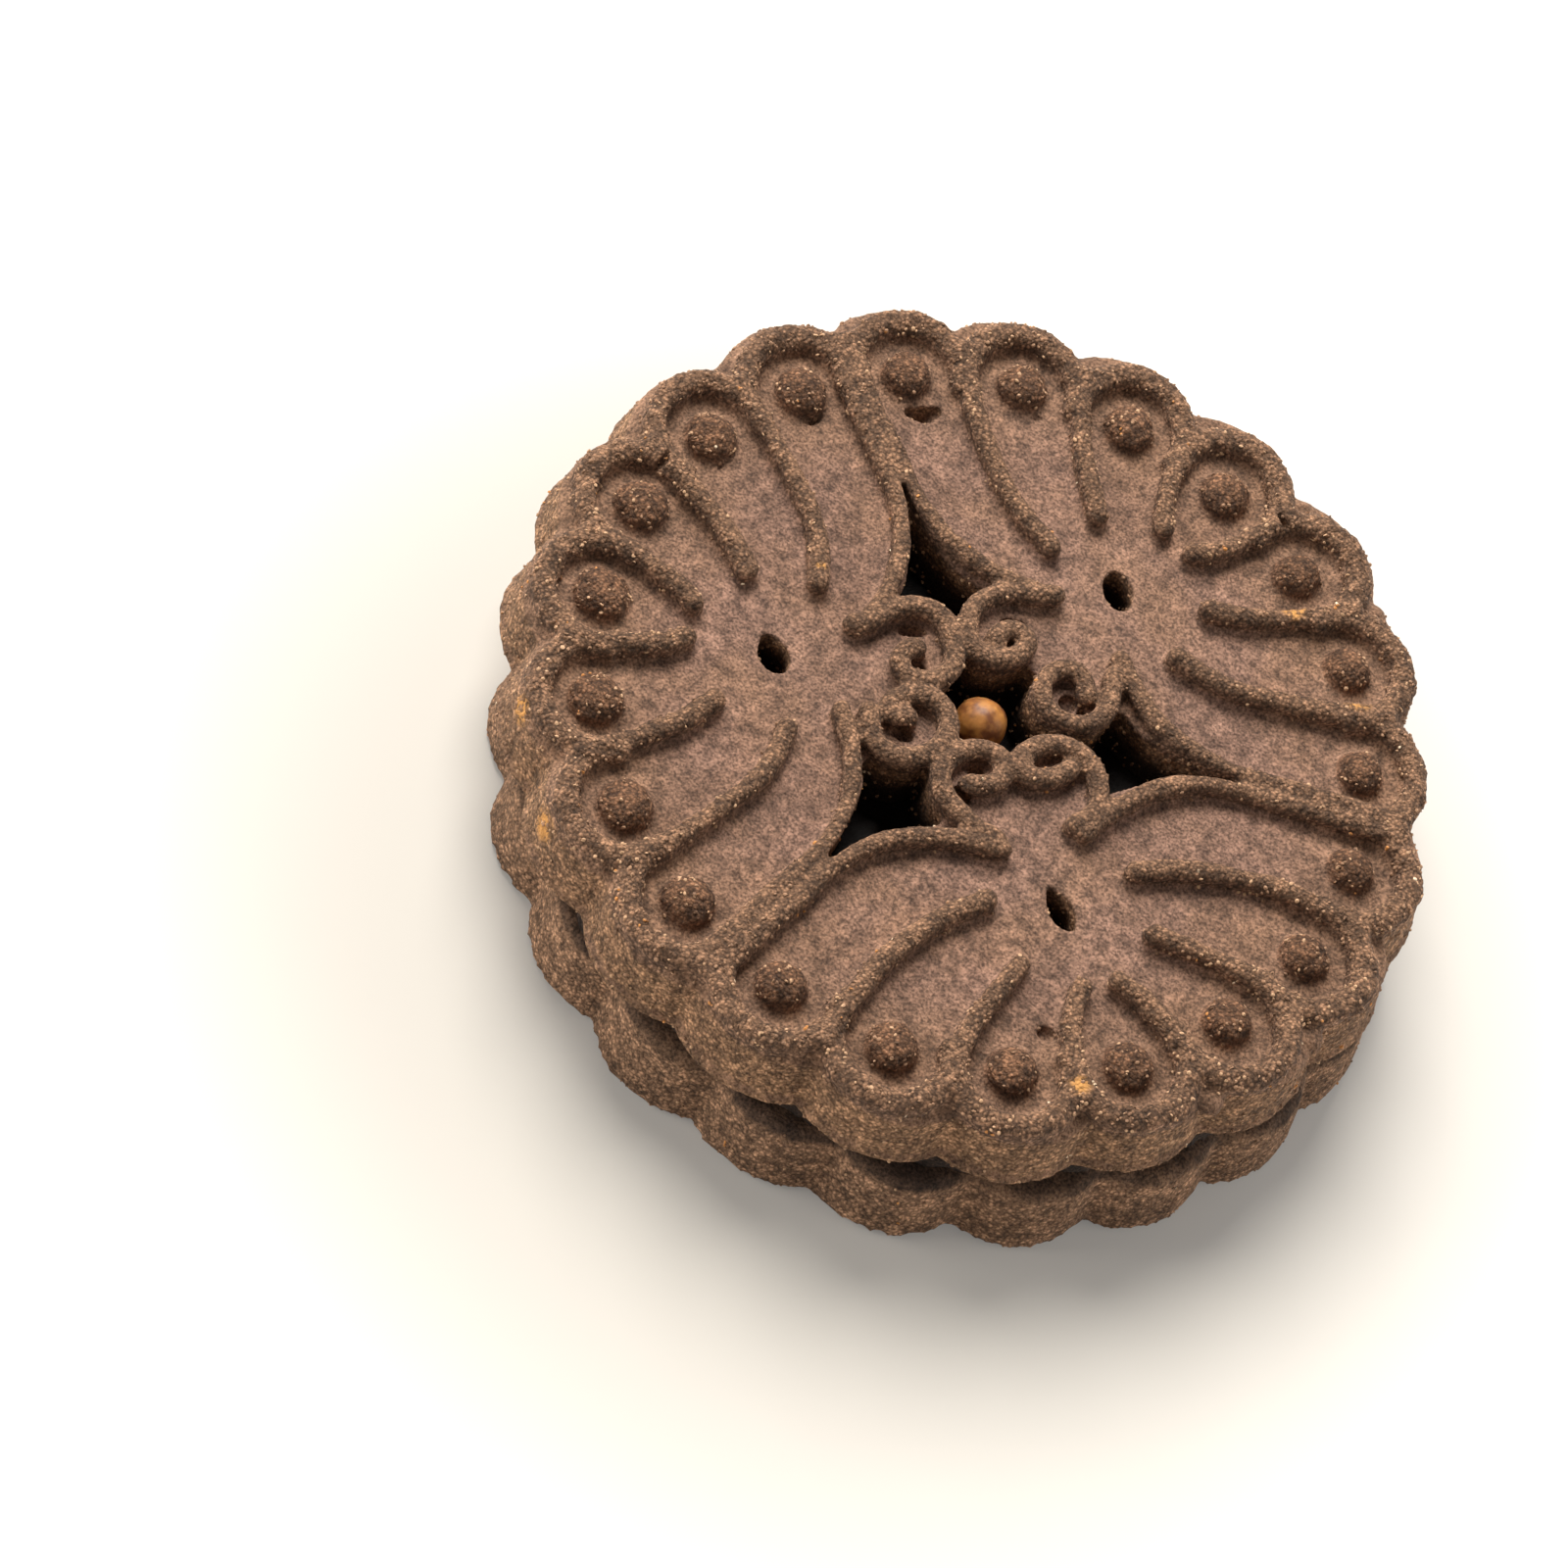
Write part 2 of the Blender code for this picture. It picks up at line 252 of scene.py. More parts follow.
def halfFan():
    lift = plateau + mould["relief"]
    bars = []
    for pair, (inner, degrees, bend) in enumerate(mould["ridgeEnds"]):
        cusp = spacing * (pair + 0.5)
        spots = arcPath(polar(mould["ridgeStart"], cusp), polar(bend, cusp),
                        polar(inner, degrees), 6)
        width = mould["ridgeWidth"]
        bars.append(rope(spots, width, lift - width / 2, (1.15, 1.05, 1, 1, 1, 1.03, 1.0)))
        bars.append(ball(spots[-1], width * 0.53, lift - width / 2))
    inward = polar(1, -30)
    seam = [polar(r, 60) + inward * mould["seamOffset"] for r in (mould["ridgeStart"] + 0.8, 22.5)]
    leave = polar(mould["seamEnd"], 60) + inward * mould["seamOffset"]
    bend = polar(mould["seamEnd"] * 0.63, 60) + inward * 0.1
    spots = seam + arcPath(leave, bend, mould["hook"], 7)
    width = mould["ridgeWidth"] * 0.97
    bars.append(rope(spots, width, lift - width / 2))
    bars.append(ball(spots[-1], width * 0.5, lift - width / 2))
    middle = [polar(r, 60) for r in (mould["ridgeStart"] + 0.6, 25, 22, 18.6)]
    bars.append(rope(middle, width, lift - 0.04 - width / 2, (1.1, 1, 1, 0.8)))
    return joined("halfFan", bars)


def scrollBars():
    # each scroll is a curled bar on its own post, which goes right through the biscuit
    lift = plateau + mould["relief"] + 0.05
    bars = []
    for scroll in scrolls:
        path, width = scroll["path"], scroll["width"]
        bars.append(rope(path, width, lift - width / 2))
        bars.append(ball(path[0], width * 0.48, lift - width / 2))
        bars.append(ball(path[-1], width * 0.5, lift - width * 0.55))
        first, last = scroll["loop"]
        loop = [Vector(spot) for spot in path[first:last]]
        middle = sum(loop, Vector((0, 0))) / len(loop)
        around = [spot + (spot - middle).normalized() * (width / 2 - 0.08) for spot in loop]
        bars.append(prism(around, topBase, plateau + 0.12))
    whole = joined("scrollBars", bars)
    whole.location = (*mould["centre"], 0)
    return settle(whole)


def scallopArch():
    lift = plateau + mould["relief"]
    seat = polar(mould["beadRing"], 0)
    arch = [seat + polar(mould["archRadius"], a) for a in range(-112, 113, 28)]
    width = mould["archWidth"]
    return rope(arch, width, lift - 0.04 - width / 2)


def pulled(obj):
    anchors = [(polar(mould["beadRing"], k * spacing), Vector(pull)) for k, pull in enumerate(beadPulls)]
    anchors += [(polar(mould["rimRing"], k * spacing), polar(push, k * spacing))
                for k, push in enumerate(rimPush)]
    for i, ends in enumerate(endPulls):
        for j, pull in enumerate(ends):
            inner, degrees, bend = mould["ridgeEnds"][j // 2]
            anchors.append((polar(inner, i * 120 + degrees * (-1) ** j), Vector(pull)))
    for vertex in obj.data.vertices:
        shift, total = Vector((0, 0)), 0.12
        for spot, pull in anchors:
            away = (vertex.co.xy - spot).length
            if away < mould["pullReach"]:
                near = math.exp(-(away / mould["pullWidth"]) ** 2)
                shift += pull * near
                total += near
        vertex.co.xy += shift / total
    return obj


def ornament():
    right = halfFan()
    left = copyOf(right)
    left.scale.x = -1
    outward(settle(left))
    fan = joined("fan", [right, left])
    arch = scallopArch()
    for cell in range(mould["cells"]):
        one = copyOf(arch)
        one.rotation_euler.z = -math.radians((cell - 3) * spacing)
        settle(one)
        fan = joined("fan", [fan, one])
    bpy.data.objects.remove(arch)
    fans = [fan]
    for i in range(1, mould["fans"]):
        one = copyOf(fan)
        one.rotation_euler.z = math.radians(i * 360 / mould["fans"])
        fans.append(settle(one))
    beads = [ball(polar(mould["beadRing"], k * spacing), radius, plateau + 0.35, mould["relief"] - 0.25)
             for k, radius in enumerate(mould["beadRadii"])]
    whole = pulled(joined("ornament", fans + beads))
    whole.location = (*mould["centre"], 0)
    return settle(whole)


# the scalloped plates

def scallopArc(tip, depth):
    notch, half = tip - depth, math.pi / (mould["fans"] * mould["cells"])
    ring = (tip ** 2 - notch ** 2) / (2 * (tip - notch * math.cos(half)))
    return ring, tip - ring


def scallopedPlate(name, shape):
    # a core and a tapered puck for each scallop, joined later by the remesh
    low, high = shape["low"], shape["high"]
    ringLow, arcLow = scallopArc(shape["tipLow"], shape["depthLow"])
    ringHigh, arcHigh = scallopArc(shape["tipHigh"], shape["depthHigh"])
    ring = (ringLow + ringHigh) / 2
    bpy.ops.mesh.primitive_cone_add(vertices=56, radius1=shape["tipLow"] - ring - shape["lip"],
                                    radius2=shape["tipHigh"] - ring, depth=high - low,
                                    location=(0, ring, (low + high) / 2))
    puck = settle(bpy.context.object)
    bpy.ops.object.mode_set(mode="EDIT")
    bpy.ops.mesh.select_all(action="DESELECT")
    bpy.ops.object.mode_set(mode="OBJECT")
    for edge in puck.data.edges:
        heights = [puck.data.vertices[v].co.z for v in edge.vertices]
        edge.select = min(heights) > high - 0.01
    bpy.ops.object.mode_set(mode="EDIT")
    bpy.ops.mesh.select_mode(type="EDGE")
    bpy.ops.mesh.bevel(offset=shape["shoulder"], segments=4, affect="EDGES")
    bpy.ops.object.mode_set(mode="OBJECT")
    parts = [puck]
    if shape["lip"]:
        bpy.ops.mesh.primitive_cylinder_add(vertices=56, radius=shape["tipLow"] - ring,
                                            depth=shape["lipHeight"],
                                            location=(0, ring, low + shape["lipHeight"] / 2))
        parts.append(settle(bpy.context.object))
    puck = joined("puck", parts)
    pucks = [puck]
    rng = random.Random(shape["seed"])
    for i in range(1, mould["fans"] * mould["cells"]):
        one = copyOf(puck)
        one.rotation_euler.z = -math.radians(i * spacing)
        pucks.append(one)
    for i, one in enumerate(pucks):
        one.rotation_euler.z -= math.radians(shape["turned"] + rng.uniform(-0.5, 0.5))
        push = shape["push"][i] if "push" in shape else rng.uniform(-0.15, 0.15)
        one.location = polar(push, i * spacing + shape["turned"]).to_3d()
        settle(one)
    bpy.ops.mesh.primitive_cylinder_add(vertices=96, radius=mould["coreRadius"], depth=high - low,
                                        location=(0, 0, (low + high) / 2))
    plate = joined(name, [settle(bpy.context.object)] + pucks)
    plate.location = (*shape["centre"], 0)
    return settle(plate)


def openingTool():
    # curved triangle between two fans that runs on to the middle: the scroll posts are put back later
    half = [Vector(spot) for spot in ((0, 17.4), (0.2, 16), (0.32, 14.6), (0.62, 13.2), (1.05, 11.7),
                                      (1.62, 10.35), (2.3, 9.3), (2.95, 8.5))]
    half += [polar(5.64, 30), polar(4.6, 62)]
    outline = half + [Vector((0, -0.4))] + [Vector((-p.x, p.y)) for p in reversed(half[1:])]
    return prism(outline, topBase - 2, topPeak + 2)


def prism(outline, low, high):
    bpy.ops.mesh.primitive_circle_add(vertices=len(outline), radius=1, fill_type="NGON",
                                      location=(0, 0, low))
    tool = settle(bpy.context.object)
    for corner, spot in zip(tool.data.vertices, outline):
        corner.co = (spot[0], spot[1], low)
    bpy.ops.object.mode_set(mode="EDIT")
    bpy.ops.mesh.select_all(action="SELECT")
    bpy.ops.mesh.extrude_region_move(TRANSFORM_OT_translate={"value": (0, 0, high - low)})
    bpy.ops.object.mode_set(mode="OBJECT")
    return outward(tool)


# the three docker holes: place round the middle, long way, half length, half width, how pointed
dockers = ((0, -49, 1.5, 0.98, 0.25), (120.7, -68, 1.6, 0.84, 0.6), (-120.7, -61, 1.45, 0.98, 0.6))


def dockerTool(around, turn, halfLong, halfWide, point, low, high):
    # a drop, its point in the direction of the turn
    seat, outline = polar(mould["dockerRing"], around), []
    along, across = polar(1, turn), polar(1, turn + 90)
    for i in range(16):
        a = 2 * math.pi * i / 16
        narrow = 1 - point * max(math.cos(a), 0) ** 1.2
        outline.append(seat + along * halfLong * math.cos(a) + across * halfWide * math.sin(a) * narrow)
    return prism(outline, low, high)


def holesTool():
    tools = []
    for i in range(mould["fans"]):
        one = openingTool()
        one.rotation_euler.z = math.radians(i * 120 + 60)
        tools.append(settle(one))
        tools.append(dockerTool(*dockers[i], topBase - 2, topPeak + 2))
    whole = worked(joined("holes", tools), "REMESH", mode="VOXEL", voxel_size=0.15)
    whole.location = (*mould["centre"], 0)
    return settle(whole)


def pitsTool():
    tools = []
    for x, y, halfLong, halfWide, turn in pits:
        one = ball((0, 0), 1, 0)
        one.scale = (halfLong, halfWide, 0.75)
        one.rotation_euler.z = math.radians(turn)
        one.location = (x + mould["centre"][0], y + mould["centre"][1], plateau + 0.05)
        tools.append(settle(one))
    for radius, around, long, wide, deep in nicks:
        seat, across = polar(radius, around), polar(1, around + 90)
        sag = polar(0.35, around)
        spots = [seat - across * long / 2 + sag, seat, seat + across * long / 2 + sag]
        spots = [spot + Vector(mould["centre"]) for spot in spots]
        # those on the rim start at its top, the others on the ground
        level = topPeak - 0.1 if radius > 24 else plateau + 0.05
        stretch = 2 * deep / wide
        nick = rope(spots, wide, level, (0.55, 1, 0.5))
        nick.scale.z = stretch
        nick.location.z = (1 - stretch) * level
        tools.append(settle(nick))
    return joined("pits", tools)


def roughen(obj, passes):
    for name, kind, size, strength, extra in passes:
        texture = cloud(obj.name + name, size, kind)
        worked(obj, "DISPLACE", texture=texture, strength=strength, texture_coords="LOCAL",
               **{"mid_level": 0.5, **extra})


def markCrumbly(obj, level):
    # ridges, beads, rim and walls come out of the mould rougher than the sunk ground
    group = obj.vertex_groups.new(name="crumbly")
    for vertex in obj.data.vertices:
        x, y, z = vertex.co
        out = math.hypot(x, y)
        up = vertex.normal.z
        weight = 0.22
        if up < 0.6:
            weight = 0.7
        if z > level + 0.45:
            weight = 0.4 + 0.6 * min(max((out - 15) / 12, 0), 1)
        if z < level - 0.6 and out > 20:
            weight = 0.6
        group.add([vertex.index], weight, "REPLACE")


def markBeads(obj, level):
    # the beads are baked darker than the ridges
    shade = obj.data.attributes.new("bead", "FLOAT", "POINT")
    fade = mould["beadShade"]
    for vertex in obj.data.vertices:
        here = vertex.co.xy - Vector(mould["centre"])
        k = round(math.degrees(math.atan2(here.x, here.y)) / spacing) % len(beadPulls)
        away = (here - polar(mould["beadRing"], k * spacing) - Vector(beadPulls[k])).length
        if vertex.co.z > level + 0.2:
            shade.data[vertex.index].value = min(max((fade - away) / 0.6, 0), 1)


def thinUnderside(obj, level, ratio):
    # the hidden face keeps only the triangles that it needs
    pick(obj)
    bpy.ops.object.mode_set(mode="EDIT")
    bpy.ops.mesh.select_all(action="DESELECT")
    bpy.ops.mesh.select_mode(type="FACE")
    bpy.ops.object.mode_set(mode="OBJECT")
    for face in obj.data.polygons:
        face.select = face.normal.z < -0.6 and face.center.z < level
    bpy.ops.object.mode_set(mode="EDIT")
    bpy.ops.mesh.decimate(ratio=ratio)
    bpy.ops.object.mode_set(mode="OBJECT")


def crumbsOn(host, name, plan):
    # loose grains scattered by geometry nodes where the dough is crumbly, then made real
    obj = copyOf(host)
    obj.name = name
    group = bpy.data.node_groups.new(name, "GeometryNodeTree")
    group.interface.new_socket("Geometry", in_out="INPUT", socket_type="NodeSocketGeometry")
    group.interface.new_socket("Geometry", in_out="OUTPUT", socket_type="NodeSocketGeometry")
    nodes, links = group.nodes, group.links
    start, end = nodes.new("NodeGroupInput"), nodes.new("NodeGroupOutput")
    weight = nodes.new("GeometryNodeInputNamedAttribute")
    weight.inputs["Name"].default_value = "crumbly"
    dense = nodes.new("ShaderNodeMapRange")
    dense.inputs["From Min"].default_value = plan["from"]
    dense.inputs["To Max"].default_value = plan["amount"]
    scatter = nodes.new("GeometryNodeDistributePointsOnFaces")
    scatter.inputs["Seed"].default_value = plan["seed"]
    grain = nodes.new("GeometryNodeMeshIcoSphere")
    grain.inputs["Radius"].default_value = 1
    size = nodes.new("FunctionNodeRandomValue")
    size.data_type = "FLOAT_VECTOR"
    size.inputs["Min"].default_value = (plan["small"],) * 3
    size.inputs["Max"].default_value = (plan["big"],) * 3
    turn = nodes.new("FunctionNodeRandomValue")
    turn.data_type = "FLOAT_VECTOR"
    turn.inputs["Max"].default_value = (6.28, 6.28, 6.28)
    put = nodes.new("GeometryNodeInstanceOnPoints")
    real = nodes.new("GeometryNodeRealizeInstances")
    links.new(start.outputs[0], scatter.inputs["Mesh"])
    links.new(weight.outputs["Attribute"], dense.inputs["Value"])
    links.new(dense.outputs["Result"], scatter.inputs["Density"])
    links.new(scatter.outputs["Points"], put.inputs["Points"])
    links.new(grain.outputs["Mesh"], put.inputs["Instance"])
    links.new(size.outputs[0], put.inputs["Scale"])
    links.new(turn.outputs[0], put.inputs["Rotation"])
    links.new(put.outputs["Instances"], real.inputs["Geometry"])
    links.new(real.outputs["Geometry"], end.inputs[0])
    worked(obj, "NODES", node_group=group)
    print(name, len(obj.data.polygons), "faces")
    return obj


def finishCrumbs(obj, node):
    toMetres(obj)
    dress(obj, crumbMaterial())
    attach(obj, "root")
    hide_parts(node)


# materials

def tree(name):
    mat = bpy.data.materials.new(name)
    mat.use_nodes = True
    return mat, mat.node_tree.nodes, mat.node_tree.links


def add(nodes, kind, **values):
    node = nodes.new("ShaderNode" + kind)
    for key, value in values.items():
        if hasattr(node, key):
            setattr(node, key, value)
        else:
            node.inputs[key.replace("_", " ")].default_value = value
    return node


def doughMaterial(name, look):
    mat, nodes, links = tree(name)
    shader = nodes["Principled BSDF"]
    where = add(nodes, "TexCoord")
    scaled = add(nodes, "Mapping")
    scaled.inputs["Scale"].default_value = (1000, 1000, 1000)
    links.new(where.outputs["Object"], scaled.inputs["Vector"])

    def noise(scale, detail=3, rough=0.55):
        one = add(nodes, "TexNoise", Scale=scale, Detail=detail, Roughness=rough)
        links.new(scaled.outputs["Vector"], one.inputs["Vector"])
        return one.outputs["Fac"]

    def cells(scale):
        one = add(nodes, "TexVoronoi", Scale=scale)
        links.new(scaled.outputs["Vector"], one.inputs["Vector"])
        return one

    def ranged(source, low, high, outLow=0, outHigh=1):
        one = add(nodes, "MapRange", interpolation_type="SMOOTHSTEP")
        one.inputs["From Min"].default_value = low
        one.inputs["From Max"].default_value = high
        one.inputs["To Min"].default_value = outLow
        one.inputs["To Max"].default_value = outHigh
        links.new(source, one.inputs["Value"])
        return one.outputs["Result"]

    def math2(kind, a, b):
        one = add(nodes, "Math", operation=kind)
        for i, value in enumerate((a, b)):
            if isinstance(value, (int, float)):
                one.inputs[i].default_value = value
            else:
                links.new(value, one.inputs[i])
        return one.outputs["Value"]

    def mixed(share, a, b, blend="MIX"):
        one = add(nodes, "Mix", data_type="RGBA", blend_type=blend)
        if isinstance(share, (int, float)):
            one.inputs["Factor"].default_value = share
        else:
            links.new(share, one.inputs["Factor"])
        for key, value in (("A", a), ("B", b)):
            socket = [s for s in one.inputs if s.name == key and s.type == "RGBA"][0]
            if isinstance(value, tuple):
                socket.default_value = (*value, 1)
            else:
                links.new(value, socket)
        return [s for s in one.outputs if s.type == "RGBA"][0]

    split = add(nodes, "SeparateXYZ")
    links.new(scaled.outputs["Vector"], split.inputs["Vector"])
    facing = add(nodes, "NewGeometry")
    faceSplit = add(nodes, "SeparateXYZ")
    links.new(facing.outputs["Normal"], faceSplit.inputs["Vector"])

    broad = noise(0.16, 3)
    middle = noise(1.1, 4, 0.6)
    fine = noise(5.4, 3, 0.6)
    grain = cells(4.2)
    glint = cells(1.5)

    raised = ranged(split.outputs["Z"], look["ridgeFrom"], look["ridgeTo"])
    wall = ranged(faceSplit.outputs["Z"], 0.62, 0.2)
    level = add(nodes, "CombineXYZ")
    links.new(split.outputs["X"], level.inputs["X"])
    links.new(split.outputs["Y"], level.inputs["Y"])
    fromMiddle = add(nodes, "VectorMath", operation="LENGTH")
    links.new(level.outputs["Vector"], fromMiddle.inputs[0])
    # painted shade: within about 17 mm of the middle, faces below the sunk ground darken towards the bottom of the
    # holes, down to the near-black deep colour
    inner = math2("MULTIPLY", ranged(fromMiddle.outputs["Value"], 17.5, 15.5),
                  ranged(split.outputs["Z"], look["deepTo"], look["deepFrom"]))
    colour = mixed(ranged(fromMiddle.outputs["Value"], 18, 25), look["ground"], look["outer"])
    colour = mixed(raised, colour, look["ridge"])
    onRidge = ranged(split.outputs["Z"], look["ridgeFrom"] - 0.8, look["ridgeFrom"] - 0.3)
    # painted light: faces turned sideways or down take lighter colours than the top, the walls most and the ridge
    # flanks less
    colour = mixed(wall, colour, mixed(onRidge, look["wall"], look["flank"]))
    colour = mixed(ranged(broad, 0.35, 0.7, 0, 0.55), colour, look["tan"])
    rough = math2("MAXIMUM", raised, wall)
    calm = ranged(fine, 0.3, 0.7, 0.44, 1.56)
    lively = math2("MULTIPLY", ranged(grain.outputs["Color"], 0.25, 0.95, 0.7, 1.64),
                   ranged(fine, 0.32, 0.66, 0.72, 1.4))
    lively = math2("MULTIPLY", lively, ranged(grain.outputs["Distance"], 0.62, 0.3, 0.58, 1.1))
    spread = add(nodes, "Mix", data_type="FLOAT")
    links.new(rough, spread.inputs["Factor"])
    links.new(calm, spread.inputs["A"])
    links.new(lively, spread.inputs["B"])
    patchy = math2("MULTIPLY", ranged(middle, 0.28, 0.72, 0.6, 1.38),
                   ranged(noise(0.42, 3), 0.3, 0.7, 0.84, 1.16))
    shade = math2("MULTIPLY", patchy, spread.outputs["Result"])
    tone = add(nodes, "CombineColor")
    for channel in ("Red", "Green", "Blue"):
        links.new(shade, tone.inputs[channel])
    colour = mixed(1.0, colour, tone.outputs["Color"], "MULTIPLY")
    bead = add(nodes, "Attribute", attribute_name="bead")
    colour = mixed(math2("MULTIPLY", bead.outputs["Fac"], 0.75), colour, (0.72, 0.62, 0.55), "MULTIPLY")
    # painted shade in the holes round the middle
    colour = mixed(inner, colour, look["deep"])
    for x, y, z, radius in look["stains"]:
        gap = add(nodes, "VectorMath", operation="DISTANCE")
        links.new(scaled.outputs["Vector"], gap.inputs[0])
        gap.inputs[1].default_value = (x, y, z)
        near = ranged(gap.outputs["Value"], radius * 1.3, radius * 0.4)
        sprinkled = math2("MULTIPLY", near, ranged(grain.outputs["Color"], 0.35, 0.5, 0.15, 1.0))
        colour = mixed(sprinkled, colour, look["stain"])
    picked = ranged(glint.outputs["Color"], 0.93, 0.95)
    spot = math2("MULTIPLY", ranged(glint.outputs["Distance"], 0.2, 0.11), picked)
    colour = mixed(spot, colour, look["glint"])
    links.new(colour, shader.inputs["Base Color"])
    dull = ranged(spot, 0, 1, look["roughness"], 0.35)
    links.new(dull, shader.inputs["Roughness"])
    shader.inputs["Specular IOR Level"].default_value = 0.25

    height = math2("ADD", math2("MULTIPLY", fine, 0.5), math2("MULTIPLY", middle, 0.8))
    height = math2("ADD", height, math2("MULTIPLY", grain.outputs["Distance"], -0.45))
    strength = math2("ADD", 0.5, math2("MULTIPLY", rough, 0.6))
    bump = add(nodes, "Bump", Distance=look["bump"] * mm)
    links.new(strength, bump.inputs["Strength"])
    links.new(height, bump.inputs["Height"])
    links.new(bump.outputs["Normal"], shader.inputs["Normal"])
    return mat


def crumbMaterial():
    mat = bpy.data.materials.get("bakedCrumbs")
    if mat:
        return mat
    mat, nodes, links = tree("bakedCrumbs")
    shader = nodes["Principled BSDF"]
    where = add(nodes, "TexCoord")
    patch = add(nodes, "TexVoronoi", Scale=1700)
    links.new(where.outputs["Object"], patch.inputs["Vector"])
    ramp = add(nodes, "ValToRGB")
    ramp.color_ramp.interpolation = "CONSTANT"
    tones = ((0, (0.09, 0.045, 0.022)), (0.15, (0.17, 0.09, 0.048)), (0.4, (0.28, 0.155, 0.085)),
             (0.68, (0.45, 0.27, 0.15)), (0.88, (0.48, 0.2, 0.055)), (0.93, (0.8, 0.62, 0.42)))
    for position, colour in tones[2:]:
        ramp.color_ramp.elements.new(position)
    for element, (position, colour) in zip(ramp.color_ramp.elements, tones):
        element.position = position
        element.color = (*colour, 1)
    links.new(patch.outputs["Color"], ramp.inputs["Fac"])
    links.new(ramp.outputs["Color"], shader.inputs["Base Color"])
    shader.inputs["Roughness"].default_value = 0.7
    shader.inputs["Specular IOR Level"].default_value = 0.35
    return mat


# upper biscuit

fanAxes = (120, 240, 0)        # degrees clockwise from +Y

topShape = {"low": topBase, "high": plateau, "tipLow": 30.3, "depthLow": 1.25, "tipHigh": 29.45,
            "depthHigh": 1.35, "lip": 0.22, "lipHeight": 0.4, "shoulder": 0.25, "centre": (-0.45, 0.15),
            "turned": -1.0, "seed": 3, "push": rimPush}
# dough that fills four of the notches
fills = [ball(polar(ring, around), 0.95, plateau - 0.5, 1.0)
         for ring, around in ((28.3, 8.6), (28.1, 25.7), (27.9, 94.3), (27.9, 111.4))]
top = joined("topBiscuit", [scallopedPlate("plate", topShape), ornament()] + fills)
worked(top, "REMESH", mode="VOXEL", voxel_size=0.22)
cutBy(top, holesTool())
top = joined("topBiscuit", [top, scrollBars()])
worked(top, "REMESH", mode="VOXEL", voxel_size=0.18)
cutBy(top, pitsTool())
worked(top, "REMESH", mode="VOXEL", voxel_size=0.165)
worked(top, "SMOOTH", factor=0.5, iterations=1)
markCrumbly(top, plateau)
markBeads(top, plateau)
crumbly = {"vertex_group": "crumbly"}
roughen(top, (("Warp", "CLOUDS", 15, 0.12, {"direction": "RGB_TO_XYZ"}),
              ("Swell", "CLOUDS", 7, 0.2, {}),
              ("Dents", "CLOUDS", 3, 0.4, crumbly),
              ("Lumps", "CLOUDS", 1.6, 0.24, crumbly),
              ("Grains", "VORONOI", 0.6, -0.14, {"mid_level": 0.35, **crumbly}),
              ("Crumb", "CLOUDS", 0.4, 0.15, crumbly)))
thinUnderside(top, topBase + 0.8, 0.06)
# grains in a square millimetre of the roughest dough, and the smallest and biggest radius
upperGrains = {"amount": 2.3, "from": 0.3, "small": 0.05, "big": 0.18, "seed": 4}
upperCrumbs = crumbsOn(top, "upperCrumbs", upperGrains)
toMetres(top)
# where orange crumbs stick: place and radius
stains = ((-13.8, -26.4, 9.5, 1.1), (-19.8, -22.1, 10.5, 1.0), (-25.9, -16.7, 11.5, 0.5),
          (20.1, -16.4, 12, 0.7), (8.5, 20.6, 12, 0.8), (15.4, 18.5, 12, 0.9), (-13.8, -0.9, 12, 0.35))
# wall and flank are painted light, lighter than the top faces; the deep colour and the heights below it are painted
# shade, near black, in the holes round the middle
doughLook = {"ground": (0.155, 0.087, 0.06), "ridge": (0.144, 0.077, 0.043), "wall": (0.25, 0.138, 0.074),
             "tan": (0.165, 0.089, 0.05), "outer": (0.148, 0.082, 0.05), "flank": (0.168, 0.094, 0.058),
             "stains": stains, "stain": (0.5, 0.24, 0.07), "glint": (0.8, 0.6, 0.4),
             "roughness": 0.88, "bump": 0.26,
             "deep": (0.02, 0.012, 0.008), "deepFrom": plateau - 2.6, "deepTo": plateau - 0.3,
             "ridgeFrom": plateau + 0.25, "ridgeTo": plateau + 0.8}
dress(top, doughMaterial("bakedCocoaDough", doughLook))
smooth(top)
print("upper biscuit", len(top.data.polygons), "faces")
# one closed piece for each fan, parted along the seams of the moulding
hub = Vector((*mould["centre"], 0)) * mm
for i, name in enumerate(("fanFront", "fanLeft", "fanRight")):
    fan = copyOf(top)
    fan.name = name
    pick(fan)
    bpy.ops.object.mode_set(mode="EDIT")
    for side in (-1, 1):
        a = math.radians(fanAxes[i] + side * 60)
        across = Vector((math.cos(a), -math.sin(a), 0)) * side
        bpy.ops.mesh.select_all(action="SELECT")
        bpy.ops.mesh.bisect(plane_co=hub, plane_no=across, clear_outer=True, use_fill=True, threshold=1e-7)
        bpy.ops.mesh.region_to_loop()
        bpy.ops.mesh.mark_sharp()
    bpy.ops.object.mode_set(mode="OBJECT")
    # the whole biscuit's own shading runs on across the cuts
    worked(fan, "DATA_TRANSFER", object=top, use_loop_data=True, data_types_loops={"CUSTOM_NORMAL"},
           loop_mapping="NEAREST_POLYNOR")
    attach(fan, "root")
    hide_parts("top_biscuit")
    fan.data.calc_loop_triangles()
    print(name, len(fan.data.loop_triangles), "triangles")
bpy.data.objects.remove(top)
finishCrumbs(upperCrumbs, "top_biscuit")

# lower biscuit

lowThick = lowHigh[2] / mm
lowShape = {"low": 0, "high": lowThick, "tipLow": 29.85, "depthLow": 1.35, "tipHigh": 29.0, "depthHigh": 1.6,
            "lip": 0, "lipHeight": 0, "shoulder": 0.7, "centre": (1.0, -0.6), "turned": -5.3, "seed": 8}
low = scallopedPlate("lowerBiscuit", lowShape)
worked(low, "REMESH", mode="VOXEL", voxel_size=0.3)
tools = []
for i in range(mould["fans"]):
    tools.append(dockerTool(*dockers[i], -2, 2.4))
tool = joined("dockers", tools)
tool.location = (*lowShape["centre"], 0)
cutBy(low, settle(tool))
